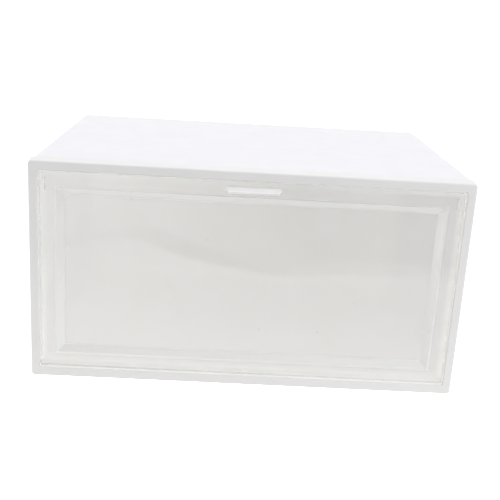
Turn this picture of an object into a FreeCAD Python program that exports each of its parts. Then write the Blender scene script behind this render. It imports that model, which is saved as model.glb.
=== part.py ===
import FreeCAD, Part
import Sketcher
import math
import os

# A drop-front shoe box in snap-together mouldings: a deep front frame, a clear door hinged along
# its bottom edge, and five wall panels whose edges lap each other. +X is the width, +Y runs from
# the door to the back and +Z is up. The origin is the middle of the base of the whole box.

DRIVING_SIZES = {
    # Whole box
    "overall_height": 186.0,
    "shell_depth": 264.0,
    "lip_overhang": 3.0,
    # Front frame
    "front_width": 360.0,
    "side_flare": 2.3,
    "frame_depth": 17.4,
    "stile_width": 7.0,
    "top_rail": 7.4,
    "sill_height": 7.6,
    "flange_reach": 5.0,
    "flange_wall": 2.2,
    "threshold_depth": 11.0,
    "bead_pocket_depth": 8.8,
    "bead_pocket_top": 13.4,
    "frame_corner": 3.0,
    "frame_edge": 1.6,
    "opening_edge": 0.6,
    "opening_corner": 2.0,
    # Door
    "door_setback": 3.5,
    "door_wall": 2.3,
    "side_gap": 0.7,
    "top_gap": 0.7,
    "door_corner": 2.5,
    "door_edge": 0.5,
    "border_side": 14.3,
    "border_top": 14.0,
    "border_bottom": 13.9,
    "bevel_width": 5.4,
    "bevel_depth": 3.65,
    "bevel_corner": 2.0,
    # Hinge
    "bead_radius": 2.4,
    "pivot_clearance": 0.3,
    "pin_radius": 1.6,
    "pin_play": 0.05,
    "pin_length": 3.5,
    "socket_end_play": 0.7,
    # Pull lip
    "lip_root_width": 44.6,
    "lip_tip_width": 39.8,
    "lip_drop_from_top": 5.5,
    "lip_root_wall": 2.6,
    "lip_tip_wall": 1.2,
    "lip_slope": 2.9,
    "lip_edge": 0.4,
    # Latches
    "slit_width": 1.1,
    "slit_inset": 4.3,
    "slit_length": 10.5,
    "slit_top_drop": 5.4,
    "latch_height": 5.0,
    "latch_reach": 0.55,
    "latch_setback": 0.4,
    "latch_round": 0.5,
    "dimple_depth": 0.5,
    # Wall panels
    "body_width": 357.4,
    "top_step": 0.3,
    "panel_wall": 2.0,
    "lap_wall": 1.0,
    "groove_wall": 1.6,
    "lap_gap": 0.1,
    "seam_gap": 0.3,
    "skirt_height": 8.0,
    "tongue_length": 6.4,
    "panel_edge": 0.8,
    "panel_corner": 1.8,
    # Wall snaps
    "snap_length": 16.0,
    "snap_height": 3.0,
    "snap_play": 0.3,
    "snap_setback": 2.2,
    "side_snap_pitch": 90.0,
    "back_snap_pitch": 160.0,
    "upright_snap_pitch": 90.0,
    # Vents
    "vent_radius": 15.0,
    "vent_spacing": 184.0,
    "vent_height": 81.0,
    "vent_edge": 0.6,
}

# Places worked out from the driving sizes, as spreadsheet expressions.
FRONT = "((Dims.lip_overhang - Dims.shell_depth) / 2)"
FRAME_REAR = f"({FRONT} + Dims.frame_depth)"
BACK = f"({FRONT} + Dims.shell_depth)"

OPENING_HALF = "(Dims.front_width / 2 - Dims.stile_width)"
OPENING_TOP = "(Dims.overall_height - Dims.top_rail)"
FLANGE_HALF = f"({OPENING_HALF} - Dims.flange_reach)"
FLANGE_TOP = f"({OPENING_TOP} - Dims.flange_reach)"
THRESHOLD_TOP = "(Dims.sill_height + Dims.flange_reach)"

DOOR_FRONT = f"({FRONT} + Dims.door_setback)"
DOOR_BACK = f"({DOOR_FRONT} + Dims.door_wall)"
DOOR_HALF = f"({OPENING_HALF} - Dims.side_gap)"
DOOR_TOP = f"({OPENING_TOP} - Dims.top_gap)"
FLANGE_FRONT = f"({DOOR_BACK} + Dims.pivot_clearance)"
PIVOT_Y = f"({DOOR_FRONT} + Dims.bead_radius)"
PIVOT_Z = "(Dims.sill_height + Dims.pivot_clearance + Dims.bead_radius)"

BODY_HALF = "(Dims.body_width / 2)"
BODY_TOP = "(Dims.overall_height - Dims.top_step)"
INNER_HALF = f"({BODY_HALF} - Dims.panel_wall)"
INNER_TOP = f"({BODY_TOP} - Dims.panel_wall)"
INNER_BACK = f"({BACK} - Dims.panel_wall)"
LAP_HALF = f"({BODY_HALF} - Dims.lap_wall)"
TONGUE_HALF = f"({LAP_HALF} - Dims.lap_gap)"
PANEL_FRONT = f"({FRAME_REAR} + Dims.seam_gap)"
TONGUE_FRONT = f"({FRAME_REAR} - Dims.tongue_length + Dims.lap_gap)"
SKIRT_LOW = f"({BODY_TOP} - Dims.skirt_height)"
SKIRT_BACK = f"({BACK} - Dims.skirt_height)"

doc = FreeCAD.newDocument("ShoeBox")


def fill_sheet():
    sheet = doc.addObject("Spreadsheet::Sheet", "Dims")
    for row, (alias, size) in enumerate(DRIVING_SIZES.items(), start=1):
        sheet.set(f"A{row}", alias)
        sheet.set(f"B{row}", str(size))
        sheet.setAlias(f"B{row}", alias)
    doc.recompute()
    return sheet


def size(alias):
    return float(sheet.get(alias))


def new_body(label):
    body = doc.addObject("PartDesign::Body", label)
    body.Label = label
    body.Placement = FreeCAD.Placement()
    return body


def new_sketch(body, name, role, offset):
    """A sketch on one of the body's own origin planes, moved along that plane's normal."""
    sketch = body.newObject("Sketcher::SketchObject", f"{body.Name}_{name}_sketch")
    plane = next(item for item in body.Origin.OriginFeatures if item.Role == role)
    sketch.AttachmentSupport = (plane, "")
    sketch.MapMode = "FlatFace"
    sketch.setExpression("AttachmentOffset.Base.z", offset)
    return sketch


def upright_sketch(body, name, y):
    """A sketch facing the front, at depth y. Its axes are X and Z."""
    return new_sketch(body, name, "XZ_Plane", f"-({y})")


def add_outline(sketch, corners):
    """A closed outline whose corners are pairs of expressions."""
    count = len(corners)
    first = sketch.GeometryCount
    angles = [2 * math.pi * (step + 0.5) / count for step in range(count)]
    start = [FreeCAD.Vector(math.cos(angle), math.sin(angle), 0) for angle in angles]
    for step in range(count):
        line = Part.LineSegment(start[step], start[(step + 1) % count])
        sketch.addGeometry(line, False)
    for step in range(count):
        following = first + (step + 1) % count
        sketch.addConstraint(Sketcher.Constraint("Coincident", first + step, 2, following, 1))
    for step, (across, along) in enumerate(corners):
        drive(sketch, "DistanceX", first + step, across, start[step].x)
        drive(sketch, "DistanceY", first + step, along, start[step].y)


def drive(sketch, kind, geometry, expression, value):
    """Hold a point of the sketch at an expression's distance from the sketch's origin."""
    index = sketch.addConstraint(Sketcher.Constraint(kind, -1, 1, geometry, 1, value))
    sketch.setExpression(f"Constraints[{index}]", expression)


def add_rectangle(sketch, left, right, low, high):
    add_outline(sketch, [(left, low), (right, low), (right, high), (left, high)])


def add_mirrored_rectangle(sketch, half, low, high):
    add_rectangle(sketch, f"-{half}", half, low, high)


def add_circle(sketch, across, along, radius):
    index = sketch.GeometryCount
    circle = Part.Circle(FreeCAD.Vector(1, 1, 0), FreeCAD.Vector(0, 0, 1), 1)
    sketch.addGeometry(circle, False)
    for kind, expression in (("DistanceX", across), ("DistanceY", along)):
        place = sketch.addConstraint(Sketcher.Constraint(kind, -1, 1, index, 3, 1))
        sketch.setExpression(f"Constraints[{place}]", expression)
    bound = sketch.addConstraint(Sketcher.Constraint("Radius", index, 1))
    sketch.setExpression(f"Constraints[{bound}]", radius)


def extrude(body, kind, name, sketch, length, reverse=False, symmetric=False):
    """A Pad or Pocket, checked for having changed the body's volume."""
    before = body.Shape.Volume if body.Tip else 0.0
    feature = body.newObject(f"PartDesign::{kind}", f"{body.Name}_{name}")
    feature.Profile = sketch
    feature.setExpression("Length", length)
    feature.Reversed = reverse
    if symmetric:
        feature.SideType = "Symmetric"
    sketch.Visibility = False
    doc.recompute()
    change = body.Shape.Volume - before
    if (kind == "Pad") != (change > 0.01) or abs(change) < 0.01:
        raise RuntimeError(f"{feature.Name} changed the volume by {change:.3f}")
    return feature


def pad_back(body, name, sketch, length):
    """Add material from an upright sketch towards the back."""
    return extrude(body, "Pad", name, sketch, length, reverse=True)


def pocket_back(body, name, sketch, length):
    """Cut from an upright sketch towards the back."""
    return extrude(body, "Pocket", name, sketch, length)


def pocket_forward(body, name, sketch, length):
    """Cut from an upright sketch towards the front."""
    return extrude(body, "Pocket", name, sketch, length, reverse=True)


def pad_up(body, name, low, high, corners):
    """Add a plan outline from height low to height high."""
    sketch = new_sketch(body, name, "XY_Plane", low)
    add_outline(sketch, corners)
    return extrude(body, "Pad", name, sketch, f"({high}) - ({low})")


def plan_rectangle(left, right, front, back):
    return [(left, front), (right, front), (right, back), (left, back)]


def loft(body, kind, name, near, far):
    """An AdditiveLoft or SubtractiveLoft between two upright rectangles.

    Each end is (y, left, right, low, high) in expressions.
    """
    ends = []
    for tag, (y, left, right, low, high) in (("near", near), ("far", far)):
        sketch = upright_sketch(body, f"{name}_{tag}", y)
        add_rectangle(sketch, left, right, low, high)
        ends.append(sketch)
    doc.recompute()
    before = body.Shape.Volume
    feature = body.newObject(f"PartDesign::{kind}", f"{body.Name}_{name}")
    feature.Profile = ends[0]
    feature.Sections = [ends[1]]
    feature.Ruled = True
    doc.recompute()
    if abs(body.Shape.Volume - before) < 0.01:
        raise RuntimeError(f"{feature.Name} changed nothing")
    return feature


def edge_names(body, wanted):
    """Names of the edges of the body's last feature that pass the test."""
    names = []
    for index, edge in enumerate(body.Tip.Shape.Edges, start=1):
        if wanted(edge, edge.BoundBox):
            names.append(f"Edge{index}")
    return names


def round_edges(body, name, radius, wanted):
    base = body.Tip
    names = edge_names(body, wanted)
    if not names:
        raise RuntimeError(f"{name} found no edge")
    fillet = body.newObject("PartDesign::Fillet", f"{body.Name}_{name}")
    fillet.Base = (base, names)
    fillet.setExpression("Radius", radius)
    doc.recompute()
    return fillet


def near(first, second, slack=0.02):
    return abs(first - second) < slack


def along_x(box):
    return box.YLength < 0.02 and box.ZLength < 0.02


def along_y(box):
    return box.XLength < 0.02 and box.ZLength < 0.02


def along_z(box):
    return box.XLength < 0.02 and box.YLength < 0.02


sheet = fill_sheet()
front_y = (size("lip_overhang") - size("shell_depth")) / 2
back_y = front_y + size("shell_depth")
frame_rear_y = front_y + size("frame_depth")
opening_half = size("front_width") / 2 - size("stile_width")
opening_top = size("overall_height") - size("top_rail")


def make_front_frame():
    body = new_body("front_frame")
    front_half = "(Dims.front_width / 2)"
    rear_half = f"({front_half} + Dims.side_flare)"
    flared = [(f"-{front_half}", FRONT), (front_half, FRONT),
              (rear_half, FRAME_REAR), (f"-{rear_half}", FRAME_REAR)]
    pad_up(body, "block", "0", "Dims.overall_height", flared)

    def outer_corner(edge, box):
        level = box.ZLength < 0.02 and box.YLength > 1
        return level and abs(box.XMax) > opening_half
    round_edges(body, "corners", "Dims.frame_corner", outer_corner)

    # The door's recess, open to the front, with rounded corners.
    recess = upright_sketch(body, "recess", FRONT)
    add_mirrored_rectangle(recess, OPENING_HALF, "Dims.sill_height", OPENING_TOP)
    pocket_back(body, "recess", recess, f"{FLANGE_FRONT} - {FRONT}")

    def recess_corner(edge, box):
        return along_y(box) and near(abs(box.XMin), opening_half) and box.ZMin > 20
    round_edges(body, "recess_corners", "Dims.opening_corner", recess_corner)

    bead_pocket = upright_sketch(body, "bead_pocket", FRONT)
    add_mirrored_rectangle(bead_pocket, OPENING_HALF, "Dims.sill_height", "Dims.bead_pocket_top")
    pocket_back(body, "bead_pocket", bead_pocket, "Dims.bead_pocket_depth")

    # The way in, inside the stop flange.
    mouth = upright_sketch(body, "mouth", FRONT)
    add_mirrored_rectangle(mouth, FLANGE_HALF, THRESHOLD_TOP, FLANGE_TOP)
    pocket_back(body, "mouth", mouth, "Dims.frame_depth")

    # Behind the flange the frame is hollow up to the wall that backs the panels' groove.
    inner_half = f"({INNER_HALF} - Dims.groove_wall)"
    inner_low = "(Dims.panel_wall + Dims.groove_wall)"
    inner_top = f"({INNER_TOP} - Dims.groove_wall)"
    relief = upright_sketch(body, "relief", FRAME_REAR)
    add_mirrored_rectangle(relief, inner_half, inner_low, inner_top)
    pocket_forward(body, "relief", relief, "Dims.frame_depth - Dims.threshold_depth")
    flange_back = upright_sketch(body, "flange_back", FRAME_REAR)
    add_mirrored_rectangle(flange_back, inner_half, "Dims.bead_pocket_top + Dims.flange_wall",
                           inner_top)
    depth = f"{FRAME_REAR} - {FLANGE_FRONT} - Dims.flange_wall"
    pocket_forward(body, "flange_back", flange_back, depth)

    # The groove that takes the panels' tongues.
    groove = upright_sketch(body, "groove", FRAME_REAR)
    add_mirrored_rectangle(groove, LAP_HALF, "Dims.lap_wall", f"({BODY_TOP} - Dims.lap_wall)")
    inside = f"({INNER_HALF} - Dims.lap_gap)"
    add_mirrored_rectangle(groove, inside, "(Dims.panel_wall + Dims.lap_gap)",
                           f"({INNER_TOP} - Dims.lap_gap)")
    pocket_forward(body, "groove", groove, "Dims.tongue_length")

    # Hinge sockets and latch dimples in the stiles' inner faces.
    sockets = new_sketch(body, "sockets", "YZ_Plane", "0")
    add_circle(sockets, PIVOT_Y, PIVOT_Z, "Dims.pin_radius + Dims.pin_play")
    reach = f"2 * ({OPENING_HALF} + Dims.pin_length + Dims.socket_end_play)"
    extrude(body, "Pocket", "sockets", sockets, reach, symmetric=True)
    dimples = new_sketch(body, "dimples", "YZ_Plane", "0")
    low, high = latch_heights("Dims.latch_setback")
    add_rectangle(dimples, f"{DOOR_FRONT}", f"{DOOR_BACK}", low, high)
    extrude(body, "Pocket", "dimples", dimples, f"2 * ({OPENING_HALF} + Dims.dimple_depth)",
            symmetric=True)

    def front_outline(edge, box):
        outside = abs(box.XMin) > opening_half + 3 and abs(box.XMax) > opening_half + 3
        outside = outside or box.ZMax < 1 or box.ZMin > opening_top + 3
        return near(box.YMax, front_y) and outside
    round_edges(body, "front_edges", "Dims.frame_edge", front_outline)

    def recess_outline(edge, box):
        return near(box.YMax, front_y) and box.ZMin > 5 and box.ZMax < opening_top + 1
    round_edges(body, "recess_edges", "Dims.opening_edge", recess_outline)

    def rear_outline(edge, box):
        outside = abs(box.XMin) > size("body_width") / 2 + 1
        outside = outside or box.ZMax < 0.5 or box.ZMin > size("overall_height") - 0.5
        return near(box.YMin, frame_rear_y) and near(box.YMax, frame_rear_y) and outside
    round_edges(body, "rear_edges", "Dims.seam_gap", rear_outline)
    return body


def latch_heights(margin="0"):
    """Lowest and highest point of a snap latch, or of its dimple with a margin."""
    middle = f"({DOOR_TOP} - Dims.slit_top_drop - Dims.slit_length / 2)"
    return (f"({middle} - Dims.latch_height / 2 - {margin})",
            f"({middle} + Dims.latch_height / 2 + {margin})")


def make_door():
    body = new_body("door")
    slab = upright_sketch(body, "slab", DOOR_FRONT)
    add_mirrored_rectangle(slab, DOOR_HALF, PIVOT_Z, DOOR_TOP)
    pad_back(body, "slab", slab, "Dims.door_wall")

    def top_corner(edge, box):
        return along_y(box) and box.ZMin > 100
    round_edges(body, "corners", "Dims.door_corner", top_corner)

    door_front_y = front_y + size("door_setback")

    def front_edge(edge, box):
        return near(box.YMin, door_front_y) and near(box.YMax, door_front_y) and box.ZMax > 20
    round_edges(body, "front_edges", "Dims.door_edge", front_edge)

    # The centre is set back behind a bevel. The same bevel, offset by the wall, is added behind.
    run = "sqrt(Dims.bevel_width * Dims.bevel_width + Dims.bevel_depth * Dims.bevel_depth)"
    offset = f"(Dims.door_wall * ({run} - Dims.bevel_width) / Dims.bevel_depth)"
    half = f"({DOOR_HALF} - Dims.border_side)"
    low = f"({PIVOT_Z} - Dims.bead_radius + Dims.border_bottom)"
    high = f"({DOOR_TOP} - Dims.border_top)"

    def tray(y, grow):
        wide = f"({half} + {grow})"
        return (y, f"-{wide}", wide, f"({low} - {grow})", f"({high} + {grow})")

    def bevel(start, grow):
        shrink = f"({grow} - Dims.bevel_width)"
        return tray(start, grow), tray(f"({start} + Dims.bevel_depth)", shrink)
    loft(body, "AdditiveLoft", "tray", *bevel(DOOR_BACK, offset))
    loft(body, "SubtractiveLoft", "hollow", *bevel(DOOR_FRONT, "0"))

    inner_half = size("front_width") / 2 - size("stile_width") - size("side_gap")

    def bevel_edge(edge, box):
        return box.YLength > 1 and max(abs(box.XMin), abs(box.XMax)) < inner_half - 5
    round_edges(body, "tray_corners", "Dims.bevel_corner", bevel_edge)

    # The hinge: a bead along the bottom edge, with a pin at each end.
    bead = new_sketch(body, "bead", "YZ_Plane", "0")
    add_circle(bead, PIVOT_Y, PIVOT_Z, "Dims.bead_radius")
    extrude(body, "Pad", "bead", bead, f"2 * {DOOR_HALF}", symmetric=True)
    pins = new_sketch(body, "pins", "YZ_Plane", "0")
    add_circle(pins, PIVOT_Y, PIVOT_Z, "Dims.pin_radius")
    extrude(body, "Pad", "pins", pins, f"2 * ({OPENING_HALF} + Dims.pin_length)", symmetric=True)

    # The pull lip slopes forward and down from the upper border.
    root_top = f"({DOOR_TOP} - Dims.lip_drop_from_top)"
    tip_top = f"({root_top} - Dims.lip_slope)"
    root_half = "(Dims.lip_root_width / 2)"
    tip_half = "(Dims.lip_tip_width / 2)"
    root = (DOOR_FRONT, f"-{root_half}", root_half, f"({root_top} - Dims.lip_root_wall)", root_top)
    tip = (f"({FRONT} - Dims.lip_overhang)", f"-{tip_half}", tip_half,
           f"({tip_top} - Dims.lip_tip_wall)", tip_top)
    loft(body, "AdditiveLoft", "lip", root, tip)

    def lip_edge(edge, box):
        return box.YMin < front_y and box.YMax < front_y + 3.4
    round_edges(body, "lip_edges", "Dims.lip_edge", lip_edge)

    # Snap latches: a bump on each side edge, and a slit behind it that lets it spring.
    bumps = new_sketch(body, "bumps", "YZ_Plane", "0")
    low, high = latch_heights()
    add_rectangle(bumps, f"{DOOR_FRONT} + Dims.latch_setback", f"{DOOR_BACK} - Dims.latch_setback",
                  low, high)
    extrude(body, "Pad", "bumps", bumps, f"2 * ({DOOR_HALF} + Dims.latch_reach)", symmetric=True)

    def bump_edge(edge, box):
        return max(abs(box.XMin), abs(box.XMax)) > inner_half + 0.3 and along_z(box)
    round_edges(body, "bump_edges", "Dims.latch_round", bump_edge)

    slits = upright_sketch(body, "slits", DOOR_FRONT)
    slit_high = f"({DOOR_TOP} - Dims.slit_top_drop)"
    slit_low = f"({slit_high} - Dims.slit_length)"
    for side in ("", "-"):
        inner = f"{side}({DOOR_HALF} - Dims.slit_inset - Dims.slit_width)"
        outer = f"{side}({DOOR_HALF} - Dims.slit_inset)"
        add_rectangle(slits, inner, outer, slit_low, slit_high)
    pocket_back(body, "slits", slits, "Dims.door_wall")

    return body


def make_plate(label, low, high, skirt_low, skirt_high, tongue_low, tongue_high):
    """The top or the base: a plate with a front tongue and a skirt on the other three sides."""
    body = new_body(label)
    whole = plan_rectangle(f"-{BODY_HALF}", BODY_HALF, PANEL_FRONT, BACK)
    pad_up(body, "plate", low, high, whole)
    skirt = [(f"-{BODY_HALF}", PANEL_FRONT), (f"-{LAP_HALF}", PANEL_FRONT),
             (f"-{LAP_HALF}", f"({BACK} - Dims.lap_wall)"), (LAP_HALF, f"({BACK} - Dims.lap_wall)"),
             (LAP_HALF, PANEL_FRONT), (BODY_HALF, PANEL_FRONT), (BODY_HALF, BACK),
             (f"-{BODY_HALF}", BACK)]
    pad_up(body, "skirt", skirt_low, skirt_high, skirt)
    tongue = plan_rectangle(f"-{TONGUE_HALF}", TONGUE_HALF, TONGUE_FRONT, PANEL_FRONT)
    pad_up(body, "tongue", tongue_low, tongue_high, tongue)

    def back_corner(edge, box):
        return along_z(box) and near(box.YMin, back_y)
    round_edges(body, "back_corners", "Dims.panel_corner", back_corner)
    return body


def round_plate_rim(body, level):
    def rim(edge, box):
        flat = near(box.ZMin, level) and near(box.ZMax, level)
        return flat and box.YMax > frame_rear_y + 1
    round_edges(body, "rim", "Dims.panel_edge", rim)


def snap_middles(pitch, count):
    """Middles of a centred row of snaps, as expressions."""
    return [f"({step - (count - 1) / 2} * {pitch})" for step in range(count)]


WALL_MIDDLE = f"(({PANEL_FRONT} + {BACK}) / 2)"
UPRIGHT_MIDDLE = f"({BODY_TOP} / 2)"


def side_snaps():
    """Middles of the snaps along a side wall's top and bottom edges."""
    return [f"({WALL_MIDDLE} + {middle})" for middle in snap_middles("Dims.side_snap_pitch", 3)]


def back_snaps():
    return snap_middles("Dims.back_snap_pitch", 2)


def upright_snaps():
    """Middles of the snaps down the back corners."""
    middles = snap_middles("Dims.upright_snap_pitch", 2)
    return [f"({UPRIGHT_MIDDLE} + {middle})" for middle in middles]


def add_snap_outlines(sketch, middles, low, high, play):
    """One rectangle for each snap, grown by the play all round."""
    for middle in middles:
        start = f"({middle} - Dims.snap_length / 2 - {play})"
        end = f"({middle} + Dims.snap_length / 2 + {play})"
        add_rectangle(sketch, start, end, f"({low} - {play})", f"({high} + {play})")


def snap_band(from_top):
    """Heights of the snaps under the top or over the base."""
    if from_top:
        high = f"({INNER_TOP} - Dims.snap_setback)"
        return f"({high} - Dims.snap_height)", high
    low = "(Dims.panel_wall + Dims.snap_setback)"
    return low, f"({low} + Dims.snap_height)"


def cut_plate_windows(body, from_top):
    """Windows in the skirt for the walls' snaps."""
    low, high = snap_band(from_top)
    sides = new_sketch(body, "side_windows", "YZ_Plane", "0")
    add_snap_outlines(sides, side_snaps(), low, high, "Dims.snap_play")
    extrude(body, "Pocket", "side_windows", sides, "Dims.body_width + 2", symmetric=True)
    rear = upright_sketch(body, "back_windows", BACK)
    add_snap_outlines(rear, back_snaps(), low, high, "Dims.snap_play")
    pocket_forward(body, "back_windows", rear, "Dims.panel_wall")


def make_top_panel():
    tongue_low = INNER_TOP
    tongue_high = f"({INNER_TOP} + Dims.lap_wall - Dims.lap_gap)"
    body = make_plate("top_panel", INNER_TOP, BODY_TOP, SKIRT_LOW, INNER_TOP, tongue_low, tongue_high)
    cut_plate_windows(body, True)
    round_plate_rim(body, size("overall_height") - size("top_step"))
    return body


def make_base_panel():
    tongue_low = "(Dims.panel_wall - Dims.lap_wall + Dims.lap_gap)"
    body = make_plate("base_panel", "0", "Dims.panel_wall", "Dims.panel_wall", "Dims.skirt_height",
                      tongue_low, "Dims.panel_wall")
    cut_plate_windows(body, False)
    round_plate_rim(body, 0)
    return body


def make_side_panel(label, mirrored):
    """A side wall: a full inner layer, an outer layer between the skirts, and its snaps."""
    body = new_body(label)
    sign = "-" if mirrored else ""

    def layer(name, inner, outer, front, back, low, high):
        corners = [(f"{sign}{inner}", front), (f"{sign}{outer}", front),
                   (f"{sign}{outer}", back), (f"{sign}{inner}", back)]
        return pad_up(body, name, low, high, corners)
    inner_back = f"({INNER_BACK} - Dims.lap_gap)"
    layer("inner", INNER_HALF, TONGUE_HALF, TONGUE_FRONT, inner_back, "Dims.panel_wall", INNER_TOP)
    layer("outer", TONGUE_HALF, BODY_HALF, PANEL_FRONT, f"({SKIRT_BACK} - Dims.lap_gap)",
          "Dims.skirt_height + Dims.lap_gap", f"({SKIRT_LOW} - Dims.lap_gap)")

    snap_out = f"({BODY_HALF} - Dims.lap_gap)"
    for edge, from_top in (("upper", True), ("lower", False)):
        low, high = snap_band(from_top)
        for step, middle in enumerate(side_snaps(), start=1):
            start = f"({middle} - Dims.snap_length / 2)"
            end = f"({middle} + Dims.snap_length / 2)"
            layer(f"{edge}_snap_{step}", TONGUE_HALF, snap_out, start, end, low, high)
    for step, middle in enumerate(upright_snaps(), start=1):
        front = f"({SKIRT_BACK} + Dims.snap_setback)"
        low = f"({middle} - Dims.snap_length / 2)"
        high = f"({middle} + Dims.snap_length / 2)"
        layer(f"back_snap_{step}", TONGUE_HALF, snap_out, front, f"({front} + Dims.snap_height)",
              low, high)
    return body


def make_back_panel():
    body = new_body("back_panel")
    face = f"({BACK} - Dims.lap_wall - Dims.lap_gap)"
    inner = upright_sketch(body, "inner", INNER_BACK)
    add_mirrored_rectangle(inner, TONGUE_HALF, "Dims.panel_wall", INNER_TOP)
    pad_back(body, "inner", inner, f"{face} - {INNER_BACK}")
    low = "(Dims.skirt_height + Dims.lap_gap)"
    high = f"({SKIRT_LOW} - Dims.lap_gap)"
    outer = upright_sketch(body, "outer", face)
    add_mirrored_rectangle(outer, BODY_HALF, low, high)
    pad_back(body, "outer", outer, f"{BACK} - {face}")

    # Returns that lap the side walls.
    for side, sign in (("right", ""), ("left", "-")):
        outline = [(f"{sign}{LAP_HALF}", SKIRT_BACK), (f"{sign}{BODY_HALF}", SKIRT_BACK),
                   (f"{sign}{BODY_HALF}", face), (f"{sign}{LAP_HALF}", face)]
        pad_up(body, f"{side}_return", low, high, outline)

    # Snaps for the windows in the top and base skirts.
    for edge, from_top in (("upper", True), ("lower", False)):
        snap_low, snap_high = snap_band(from_top)
        snaps = upright_sketch(body, f"{edge}_snaps", face)
        add_snap_outlines(snaps, back_snaps(), snap_low, snap_high, "0")
        pad_back(body, f"{edge}_snaps", snaps, "Dims.lap_wall")

    windows = new_sketch(body, "windows", "YZ_Plane", "0")
    for middle in upright_snaps():
        front = f"({SKIRT_BACK} + Dims.snap_setback - Dims.snap_play)"
        end = f"({SKIRT_BACK} + Dims.snap_setback + Dims.snap_height + Dims.snap_play)"
        add_rectangle(windows, front, end, f"({middle} - Dims.snap_length / 2 - Dims.snap_play)",
                      f"({middle} + Dims.snap_length / 2 + Dims.snap_play)")
    extrude(body, "Pocket", "windows", windows, "Dims.body_width + 2", symmetric=True)

    vents = upright_sketch(body, "vents", INNER_BACK)
    for side in ("", "-"):
        add_circle(vents, f"{side}Dims.vent_spacing / 2", "Dims.vent_height", "Dims.vent_radius")
    pocket_back(body, "vents", vents, "Dims.panel_wall")

    def vent_rim(edge, box):
        rim = near(box.XLength, 2 * size("vent_radius")) and near(box.YLength, 0)
        return rim and near(box.ZLength, 2 * size("vent_radius"))
    round_edges(body, "vent_rims", "Dims.vent_edge", vent_rim)

    def back_corner(edge, box):
        return along_z(box) and near(box.YMin, back_y) and box.ZLength > 100
    round_edges(body, "back_corners", "Dims.panel_corner", back_corner)
    return body


def check_document():
    """Every object computed, and every sub-part one valid solid."""
    for item in doc.Objects:
        if "Invalid" in item.State or "Error" in item.State:
            raise RuntimeError(f"{item.Name}: {item.State}")
    for part in parts:
        shape = part.Shape
        if shape.isNull() or not shape.isValid() or len(shape.Solids) != 1:
            raise RuntimeError(f"{part.Label} is not one valid solid")


parts = [
    make_front_frame(),
    make_door(),
    make_top_panel(),
    make_base_panel(),
    make_side_panel("left_panel", True),
    make_side_panel("right_panel", False),
    make_back_panel(),
]
doc.recompute()
check_document()
os.makedirs("parts", exist_ok=True)
for part in parts:
    part.Shape.exportStep(f"parts/{part.Label}.step")
    print(part.Label, part.Shape.BoundBox, f"{part.Shape.Volume / 1000:.2f} cm3")
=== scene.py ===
import math

import bpy
from mathutils import Euler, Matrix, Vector


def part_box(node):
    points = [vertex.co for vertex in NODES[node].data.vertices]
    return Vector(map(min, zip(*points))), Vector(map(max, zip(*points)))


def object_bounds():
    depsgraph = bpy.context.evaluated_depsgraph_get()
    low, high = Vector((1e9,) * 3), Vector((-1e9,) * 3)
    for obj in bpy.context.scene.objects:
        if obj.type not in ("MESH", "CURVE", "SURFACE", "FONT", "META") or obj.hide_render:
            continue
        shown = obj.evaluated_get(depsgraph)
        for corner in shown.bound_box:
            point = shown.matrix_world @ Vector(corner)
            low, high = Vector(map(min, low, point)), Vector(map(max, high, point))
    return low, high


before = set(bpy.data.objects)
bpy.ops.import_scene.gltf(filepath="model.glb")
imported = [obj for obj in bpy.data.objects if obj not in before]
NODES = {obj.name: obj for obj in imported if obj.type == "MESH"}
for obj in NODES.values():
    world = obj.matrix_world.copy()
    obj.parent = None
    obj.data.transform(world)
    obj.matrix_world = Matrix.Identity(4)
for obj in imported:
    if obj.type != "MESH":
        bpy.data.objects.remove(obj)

# A wide drop-front shoe box in glossy white plastic with a clear door, on a white studio floor.
# Metres, in the CAD frame: +X the width, +Y from the door to the back, +Z up.

CAD_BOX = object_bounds()
MM = 0.001

FRAME_LOW, FRAME_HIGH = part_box("front_frame")
FRAME_MIDDLE = (FRAME_LOW + FRAME_HIGH) / 2
FRAME_HALF = (FRAME_HIGH - FRAME_LOW) / 2
FRONT = FRAME_LOW.y

# The door's face behind the frame's front, and the bevel in the door's face.
DOOR_FACE = FRONT + 3.5 * MM
BEVEL_HALF = Vector((158, 71.05)) * MM
BEVEL_HEIGHT = 92.85 * MM
BEVEL_RUN = 5.4 * MM
BEVEL_SHIFT = 0.6 * MM

PLASTIC_IOR = 1.5
WAVE_DEPTH = 0.02 * MM
SOFT_SHARE = 0.6
DOOR_PASSES = (0.95, 0.95, 0.94)
DOOR_HAZE = (0.325, 0.335)
# Haze raised on the bevel and the edges, part of a painted highlight.
BEVEL_HIGHLIGHT_HAZE = 0.55
EDGE_HIGHLIGHT_HAZE = 0.9

# The stage, in metres and watts.
FLOOR_HALF = 12.0
FLOOR_NEAR = -12.0
BACKDROP_PLACE = 2.6
BACKDROP_HEIGHT = 3.5
BACKDROP_BEND = 0.9
BACKDROP_STEPS = 16
POOL_MIDDLE = (-0.4, FRONT - 0.2, 0)
CARD_HALF = 1.2
CARD_DEPTH = 2.2
CARD_HEIGHT = 1 * MM
SHADE_START = 0.31
SHADE_HEIGHT = -2 * MM
SCREEN_GAP = 0.12
CAMERA_PLACE = (-0.0213, FRONT - 0.6583, 0.3207)
CAMERA_TURN = (73.124, -3.332, -0.832)
SENSOR_MM = 36
LENS_MM = 60.58
WORLD_COLOUR = (1.0, 0.995, 0.98)
WORLD_STRENGTH = 0.76


# ---------------------------------------------------------------- node-tree helpers

def new_material(name):
    material = bpy.data.materials.new(name)
    material.use_nodes = True
    tree = material.node_tree
    return material, tree, tree.nodes["Principled BSDF"]


def feed(tree, socket, value):
    """Link a socket, or set a plain number or colour."""
    if isinstance(value, bpy.types.NodeSocket):
        tree.links.new(value, socket)
    elif isinstance(value, tuple):
        socket.default_value = (*value, 1)
    else:
        socket.default_value = value


def object_place(tree):
    """Object coordinates in metres."""
    return tree.nodes.new("ShaderNodeTexCoord").outputs["Object"]


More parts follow.
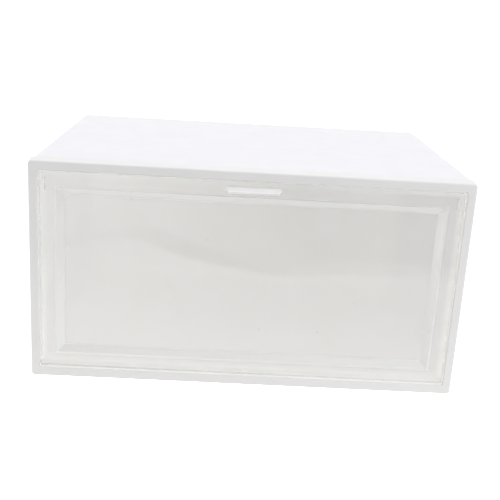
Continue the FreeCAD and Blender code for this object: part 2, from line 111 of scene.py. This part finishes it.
def axes(tree, vector):
    """A vector's X, Y and Z."""
    node = tree.nodes.new("ShaderNodeSeparateXYZ")
    feed(tree, node.inputs["Vector"], vector)
    return node.outputs["X"], node.outputs["Y"], node.outputs["Z"]


def calculate(tree, operation, *values):
    """A Math node on sockets or plain numbers."""
    node = tree.nodes.new("ShaderNodeMath")
    node.operation = operation
    for socket, value in zip(node.inputs, values):
        feed(tree, socket, value)
    return node.outputs["Value"]


def noise_value(tree, place, size, detail=3.0, rough=0.5):
    """Noise whose blotches are about the given size in metres."""
    node = tree.nodes.new("ShaderNodeTexNoise")
    node.inputs["Scale"].default_value = 1 / size
    node.inputs["Detail"].default_value = detail
    node.inputs["Roughness"].default_value = rough
    feed(tree, node.inputs["Vector"], place)
    return node.outputs["Fac"]


def spread(tree, value, low, high, start=0.3, end=0.7):
    """Map a value between start and end onto the range from low to high, and no further."""
    node = tree.nodes.new("ShaderNodeMapRange")
    node.inputs["From Min"].default_value = start
    node.inputs["From Max"].default_value = end
    node.inputs["To Min"].default_value = low
    node.inputs["To Max"].default_value = high
    feed(tree, node.inputs["Value"], value)
    return node.outputs["Result"]


def mix_numbers(tree, share, first, second):
    """The first number, turning into the second as the share goes to 1."""
    node = tree.nodes.new("ShaderNodeMix")
    for name, value in (("Factor", share), ("A", first), ("B", second)):
        feed(tree, node.inputs[name], value)
    return node.outputs["Result"]


def mix_colours(tree, share, first, second, mode="MIX"):
    """The first colour, mixed with or multiplied by the second as the share goes to 1."""
    node = tree.nodes.new("ShaderNodeMix")
    node.data_type = "RGBA"
    node.blend_type = mode
    for name, value in (("Factor", share), ("A", first), ("B", second)):
        feed(tree, node.inputs[name], value)
    return node.outputs["Result"]


def mix_shaders(tree, share, first, second):
    node = tree.nodes.new("ShaderNodeMixShader")
    for socket, value in zip(node.inputs, (share, first, second)):
        feed(tree, socket, value)
    return node.outputs["Shader"]


def add_bump(tree, height, distance):
    node = tree.nodes.new("ShaderNodeBump")
    node.inputs["Distance"].default_value = distance
    node.inputs["Strength"].default_value = 1.0
    feed(tree, node.inputs["Height"], height)
    return node.outputs["Normal"]


def add_glow(material, tree, shader, strength):
    """A white glow, which no ray is aimed at."""
    shader.inputs["Emission Color"].default_value = (1, 1, 1, 1)
    feed(tree, shader.inputs["Emission Strength"], strength)
    material.cycles.emission_sampling = "NONE"


# ---------------------------------------------------------------- plastics

def let_light_through(tree, surface, passed):
    """Thin pale plastic glows: all lamp light and a share of the soft light pass each face."""
    rays = tree.nodes.new("ShaderNodeLightPath")
    through = tree.nodes.new("ShaderNodeBsdfTransparent")
    feed(tree, through.inputs["Color"], passed)
    clear = through.outputs["BSDF"]
    partly = mix_shaders(tree, SOFT_SHARE, surface, clear)
    soft = mix_shaders(tree, rays.outputs["Is Diffuse Ray"], surface, partly)
    whole = mix_shaders(tree, rays.outputs["Is Shadow Ray"], soft, clear)
    feed(tree, tree.nodes["Material Output"].inputs["Surface"], whole)


def specks(tree, place, spacing, radius):
    """1 in a few small round specks and 0 between them."""
    cells = tree.nodes.new("ShaderNodeTexVoronoi")
    cells.inputs["Scale"].default_value = 1 / spacing
    feed(tree, cells.inputs["Vector"], place)
    reach = radius / spacing
    dot = spread(tree, cells.outputs["Distance"], 1, 0, start=0.5 * reach, end=reach)
    chance = tree.nodes.new("ShaderNodeSeparateColor")
    feed(tree, chance.inputs["Color"], cells.outputs["Color"])
    kept = spread(tree, chance.outputs["Red"], 0, 1, start=0.55, end=0.95)
    return calculate(tree, "MULTIPLY", dot, kept)


def rebate_light_share(tree, place):
    """1 on the frame's faces behind its front and inside its rails: the shaded rebate, which is
    painted lighter as painted light.
    """
    across, along, up = axes(tree, place)
    share = spread(tree, along, 0, 1, start=FRONT + 0.8 * MM, end=DOOR_FACE)
    for value, middle, half in ((across, FRAME_MIDDLE.x, FRAME_HALF.x),
                                (up, FRAME_MIDDLE.z, FRAME_HALF.z)):
        out = calculate(tree, "ABSOLUTE", calculate(tree, "SUBTRACT", value, middle))
        inside = spread(tree, out, 1, 0, start=half - 5 * MM, end=half - 4 * MM)
        share = calculate(tree, "MULTIPLY", share, inside)
    return share


def edge_highlight_share(tree):
    """1 on the faces that turn well away from the door's front, by their normal's Y; the door is
    painted lighter and milkier there, a painted highlight on its edges.
    """
    normal = tree.nodes.new("ShaderNodeTexCoord").outputs["Normal"]
    facing = calculate(tree, "ABSOLUTE", axes(tree, normal)[1])
    return spread(tree, facing, 0, 1, start=0.7, end=0.4)


def bevel_highlight_share(tree, place):
    """1 on the door's bevel and just outside it, 0 away from it; the door is painted a little
    lighter and milkier there, a painted highlight along the bevel.
    """
    across, _, up = axes(tree, place)
    side = calculate(tree, "SUBTRACT", calculate(tree, "ABSOLUTE", across), BEVEL_HALF.x)
    rise = calculate(tree, "ABSOLUTE", calculate(tree, "SUBTRACT", up, BEVEL_HEIGHT))
    level = calculate(tree, "SUBTRACT", rise, BEVEL_HALF.y)
    outside = calculate(tree, "MAXIMUM", side, level)
    centred = calculate(tree, "ADD", outside, BEVEL_RUN / 2 - BEVEL_SHIFT)
    away = calculate(tree, "ABSOLUTE", centred)
    return spread(tree, away, 1, 0, start=3 * MM, end=4.2 * MM)


def white_plastic(name, colour, shade, gloss, passed, rebate_light=None):
    """Moulded white plastic: faint mottling, a few specks, fine grain, slow waves in the gloss.

    Where a colour for the rebate is given, the frame's faces behind its front take it: painted
    light, which lightens the shaded rebate around the door.
    """
    material, tree, shader = new_material(name)
    place = object_place(tree)
    mottle = spread(tree, noise_value(tree, place, 45 * MM), 0, 1)
    skin = mix_colours(tree, mottle, colour, shade)
    # Painted light: where given, the frame's shaded rebate is painted lighter than its shade.
    if rebate_light is not None:
        skin = mix_colours(tree, rebate_light_share(tree, place), skin, rebate_light)
    dust = specks(tree, place, 30 * MM, 1.3 * MM)
    skin = mix_colours(tree, dust, skin, (0.86, 0.86, 0.84), "MULTIPLY")
    feed(tree, shader.inputs["Base Color"], skin)
    scuff = noise_value(tree, place, 14 * MM, detail=6.0, rough=0.65)
    feed(tree, shader.inputs["Roughness"], spread(tree, scuff, gloss - 0.05, gloss + 0.07))
    waves = add_bump(tree, noise_value(tree, place, 60 * MM, detail=1.0), WAVE_DEPTH)
    feed(tree, shader.inputs["Normal"], waves)
    shader.inputs["IOR"].default_value = PLASTIC_IOR
    let_light_through(tree, shader.outputs["BSDF"], passed)
    return material


def clear_plastic():
    """The door: glossy and see-through, with a milky haze that is thickened and painted lighter on
    its bevel and edges as a painted highlight.
    """
    material, tree, shader = new_material("clear_door")
    place = object_place(tree)
    cloud = noise_value(tree, place, 45 * MM)
    smudge = noise_value(tree, place, 12 * MM, detail=4.0)
    edge = edge_highlight_share(tree)
    bevel = bevel_highlight_share(tree, place)
    tint = mix_colours(tree, spread(tree, cloud, 0, 1), (0.97, 0.967, 0.955), (0.98, 0.978, 0.97))
    # Painted highlight: the milk is painted a little lighter on the bevel and lighter still on the
    # edges.
    body = mix_colours(tree, bevel, (0.797, 0.799, 0.79), (0.807, 0.81, 0.806))
    body = mix_colours(tree, edge, body, (0.86, 0.86, 0.875))
    dust = specks(tree, place, 16 * MM, 2 * MM)
    body = mix_colours(tree, dust, body, (0.91, 0.9, 0.88), "MULTIPLY")
    gloss = spread(tree, smudge, 0.008, 0.02)
    milk = tree.nodes.new("ShaderNodeBsdfPrincipled")
    for part, colour in ((shader, tint), (milk, body)):
        feed(tree, part.inputs["Base Color"], colour)
        feed(tree, part.inputs["Roughness"], gloss)
        part.inputs["IOR"].default_value = PLASTIC_IOR
    shader.inputs["Transmission Weight"].default_value = 1.0
    # The haze thickens on the bevel and edges, the rest of the same painted highlight.
    haze = mix_numbers(tree, bevel, spread(tree, cloud, *DOOR_HAZE), BEVEL_HIGHLIGHT_HAZE)
    haze = mix_numbers(tree, edge, haze, EDGE_HIGHLIGHT_HAZE)
    surface = mix_shaders(tree, haze, shader.outputs["BSDF"], milk.outputs["BSDF"])
    let_light_through(tree, surface, DOOR_PASSES)
    return material


def panel_plastic(name, colour, shade):
    return white_plastic(name, colour, shade, 0.36, (0.947, 0.938, 0.91))


def paint_box():
    """Give every CAD piece its plastic."""
    # One panel plastic in painted tones: the walls and back are tinted bluish, painted for the
    # cool light from above; the back is painted lighter and the base darker, painted light and
    # shade inside the box.
    walls = panel_plastic("white_panel", (0.76, 0.755, 0.793), (0.775, 0.77, 0.808))
    skins = {
        # The frame's rebate colour is painted light, lightening the shade around the door.
        "front_frame": white_plastic("white_frame", (0.75, 0.746, 0.746), (0.77, 0.766, 0.766),
                                     0.38, (0.94, 0.93, 0.91), rebate_light=(0.96, 0.965, 0.97)),
        "door": clear_plastic(),
        "back_panel": panel_plastic("white_back_painted_light", (0.84, 0.838, 0.847), (0.855, 0.853, 0.862)),
        "base_panel": panel_plastic("white_base_painted_shade", (0.735, 0.73, 0.735), (0.75, 0.745, 0.75)),
    }
    for name, node in NODES.items():
        for slot in node.material_slots:
            slot.material = skins.get(name, walls)


# ---------------------------------------------------------------- studio

def floor_material():
    """The lit floor. It glows most beside the box's front, and in a pool at its left."""
    material, tree, shader = new_material("studio_floor")
    place = object_place(tree)
    mottle = spread(tree, noise_value(tree, place, 0.3), 0, 1)
    colour = mix_colours(tree, mottle, (0.93, 0.93, 0.935), (0.95, 0.95, 0.955))
    feed(tree, shader.inputs["Base Color"], colour)
    shader.inputs["Roughness"].default_value = 0.9
    away = tree.nodes.new("ShaderNodeVectorMath")
    away.operation = "DISTANCE"
    away.inputs[1].default_value = POOL_MIDDLE
    feed(tree, away.inputs[0], place)
    pool = spread(tree, away.outputs["Value"], 2.05, 0.5, start=0.1, end=0.5)
    ahead = calculate(tree, "SUBTRACT", axes(tree, place)[1], FRONT)
    beside = spread(tree, calculate(tree, "ABSOLUTE", ahead), 0.9, 0, start=0, end=0.18)
    add_glow(material, tree, shader, calculate(tree, "ADD", pool, beside))
    return material


def card_material(name, grey, glow=(0, 0), fade=(-0.25, 0.15)):
    """A matt card whose glow fades from one strength to another across the scene."""
    material, tree, shader = new_material(name)
    place = object_place(tree)
    mottle = spread(tree, noise_value(tree, place, 0.2), 0, 1)
    dark, light = ((share * grey,) * 3 for share in (0.97, 1.03))
    feed(tree, shader.inputs["Base Color"], mix_colours(tree, mottle, dark, light))
    shader.inputs["Roughness"].default_value = 0.9
    strength = spread(tree, axes(tree, place)[0], *glow, start=fade[0], end=fade[1])
    add_glow(material, tree, shader, strength)
    return material


def add_stage(name, vertices, faces, materials, hidden):
    """A piece of the studio, hidden from the named kinds of ray."""
    mesh = bpy.data.meshes.new(name)
    mesh.from_pydata(vertices, [], faces)
    for material in materials:
        mesh.materials.append(material)
    piece = bpy.data.objects.new(name, mesh)
    for kind in hidden:
        setattr(piece, f"visible_{kind}", False)
    bpy.context.collection.objects.link(piece)
    return piece


def make_floor():
    """A lit floor that sweeps up into a backdrop behind the box. Light passes up through it."""
    profile = [(FLOOR_NEAR, 0.0), (BACKDROP_PLACE - BACKDROP_BEND, 0.0)]
    for step in range(1, BACKDROP_STEPS + 1):
        angle = math.pi / 2 * step / BACKDROP_STEPS
        profile.append((BACKDROP_PLACE - BACKDROP_BEND * (1 - math.sin(angle)),
                        BACKDROP_BEND * (1 - math.cos(angle))))
    profile.append((BACKDROP_PLACE, BACKDROP_HEIGHT))
    vertices = [(x, y, z) for y, z in profile for x in (-FLOOR_HALF, FLOOR_HALF)]
    faces = [(i, i + 1, i + 3, i + 2) for i in range(0, 2 * len(profile) - 2, 2)]
    floor = add_stage("studio_floor", vertices, faces, [floor_material()], ("diffuse", "shadow"))
    for face in floor.data.polygons:
        face.use_smooth = True


def smooth_line(turns, steps):
    """Points on a smooth curve through the turns, whose first coordinate always grows."""
    slopes = [(after - before) / (after.x - before.x)
              for before, after in zip(turns[:1] + turns[:-1], turns[1:] + turns[-1:])]
    line = []
    for here, there, leaving, arriving in zip(turns, turns[1:], slopes, slopes[1:]):
        run = there.x - here.x
        for step in range(steps):
            t = step / steps
            ease = t * t * (3 - 2 * t)
            bend = leaving * t * (1 - t) ** 2 - arriving * t * t * (1 - t)
            line.append(here.lerp(there, ease) + bend * run)
    return line + turns[-1:]


def make_gloss_card():
    """A card that the door's gloss mirrors: a wavy near edge, darker along it."""
    # Each row: across the scene, out from the box's front, and the depth of the darker edge.
    turns = [Vector(turn) for turn in (
        (-CARD_HALF, 0.345, 0.03), (-0.247, 0.352, 0.03), (-0.168, 0.392, 0.05),
        (-0.134, 0.402, 0.075), (-0.09, 0.35, 0.08), (-0.013, 0.304, 0.05), (0.06, 0.28, 0.05),
        (0.12, 0.298, 0.05), (0.18, 0.299, 0.05), (0.26, 0.312, 0.05), (CARD_HALF, 0.32, 0.05))]
    edge = smooth_line(turns, 6)
    vertices = [(x, FRONT - depth, CARD_HEIGHT)
                for x, out, band in edge for depth in (out, out + band, CARD_DEPTH)]
    faces = []
    for first in range(0, 3 * len(edge) - 3, 3):
        faces.append((first, first + 1, first + 4, first + 3))
        faces.append((first + 1, first + 2, first + 5, first + 4))
    greys = [card_material("card_edge", 0.35, (1.95, 0.5), (-0.22, -0.06)),
             card_material("card", 0.36, (2.25, 0.08), (-0.25, 0.1))]
    card = add_stage("gloss_card", vertices, faces, greys, ("camera", "diffuse", "shadow"))
    for index, face in enumerate(card.data.polygons):
        face.material_index = index % 2


def make_shade_card():
    """A dark card just under the floor before the box, so that less light comes up onto it."""
    corners = [(-CARD_HALF, FRONT - CARD_DEPTH, SHADE_HEIGHT),
               (CARD_HALF, FRONT - CARD_DEPTH, SHADE_HEIGHT),
               (CARD_HALF, FRONT - SHADE_START, SHADE_HEIGHT),
               (-CARD_HALF, FRONT - SHADE_START, SHADE_HEIGHT)]
    add_stage("shade_card", corners, [(0, 1, 2, 3)], [card_material("shade_card", 0.28)],
              ("camera", "glossy", "transmission"))


def make_screen():
    """A grey screen behind the box, seen only through the clear door, by way of the vents."""
    place = CAD_BOX[1].y + SCREEN_GAP
    corners = [(-0.6, place, 0.01), (0.6, place, 0.01), (0.6, place, 0.5), (-0.6, place, 0.5)]
    add_stage("grey_screen", corners, [(0, 1, 2, 3)], [card_material("screen", 0.75)],
              ("camera", "diffuse", "glossy", "shadow"))


def add_softbox(name, place, target, size, power, colour):
    light = bpy.data.lights.new(name, "AREA")
    light.shape = "RECTANGLE"
    light.size = light.size_y = size
    light.energy = power
    light.color = colour
    lamp = bpy.data.objects.new(name, light)
    lamp.location = place
    lamp.rotation_euler = (Vector(target) - Vector(place)).to_track_quat("-Z", "Y").to_euler()
    bpy.context.collection.objects.link(lamp)


def set_world():
    world = bpy.data.worlds.new("studio")
    world.use_nodes = True
    background = world.node_tree.nodes["Background"]
    background.inputs["Color"].default_value = (*WORLD_COLOUR, 1)
    background.inputs["Strength"].default_value = WORLD_STRENGTH
    bpy.context.scene.world = world


def make_camera():
    """The photograph's view: a little left of the middle, looking down at the front."""
    lens = bpy.data.cameras.new("camera")
    lens.sensor_width = SENSOR_MM
    lens.lens = LENS_MM
    camera = bpy.data.objects.new("camera", lens)
    camera.location = CAMERA_PLACE
    camera.rotation_euler = Euler([math.radians(turn) for turn in CAMERA_TURN])
    bpy.context.collection.objects.link(camera)
    bpy.context.scene.camera = camera


paint_box()
make_floor()
make_gloss_card()
make_shade_card()
make_screen()
add_softbox("overhead", (0.2, 0, 2.4), (0, 0, 0), 3.0, 19, (0.95, 0.94, 1.0))
add_softbox("side", (0.75, FRONT - 0.55, 0.35), (0, FRONT, 0.1), 0.5, 2.6, (0.96, 0.975, 1.0))
add_softbox("left", (-1.2, 0, 0.35), (0, 0, 0.1), 0.6, 3.5, (1.0, 0.985, 0.96))
set_world()
make_camera()
bpy.context.scene.view_settings.view_transform = "Standard"
